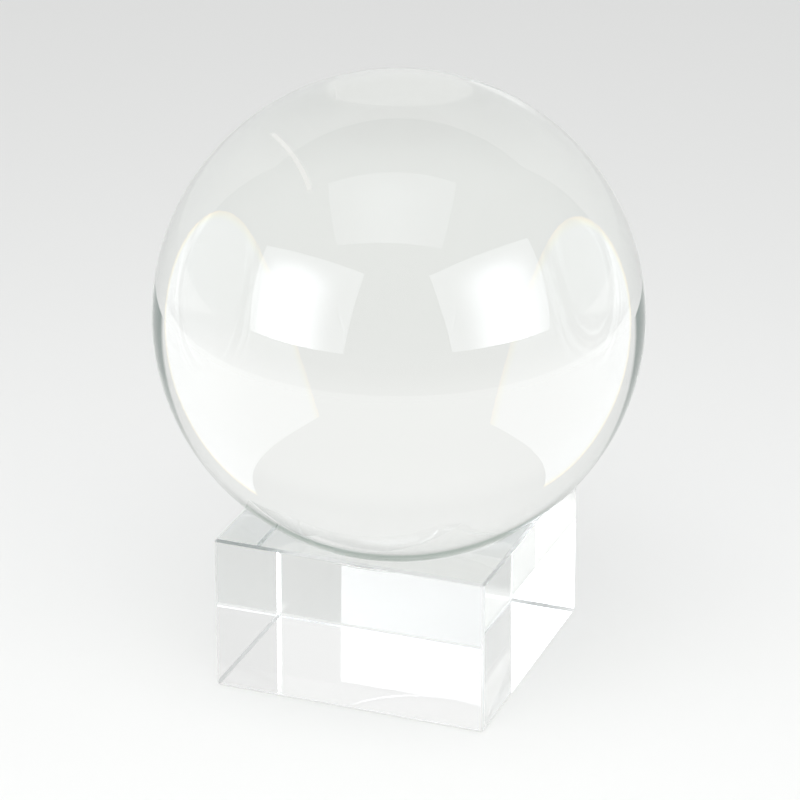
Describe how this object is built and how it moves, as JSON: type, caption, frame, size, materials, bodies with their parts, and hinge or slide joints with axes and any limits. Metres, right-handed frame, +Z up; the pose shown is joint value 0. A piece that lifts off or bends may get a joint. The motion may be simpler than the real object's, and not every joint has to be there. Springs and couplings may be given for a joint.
{
  "type": "crystal ball on base",
  "caption": "Solid clear glass ball resting loose in a spherical seat ground into the top of a clear glass square block with bevelled edges.",
  "frame": {"origin": "centre of the base block's underside", "axes": "+Z up through the centres of the block and the ball; X and Y square to the block's sides"},
  "size_m": [0.12, 0.12, 0.1508],
  "materials": {
    "ball_glass": "clear optical glass, ground and polished to a full sphere",
    "block_glass": "clear optical glass, flat polished faces, polished edge bevels and a polished spherical seat"
  },
  "bodies": {
    "base": {"base_block": "block_glass"},
    "ball": {"crystal_ball": "ball_glass"}
  },
  "joints": [
    {"name": "ball_lift", "type": "slide", "parent": "base", "child": "ball", "axis": [0, 0, 1], "range_m": [0, 0.08]}
  ]
}
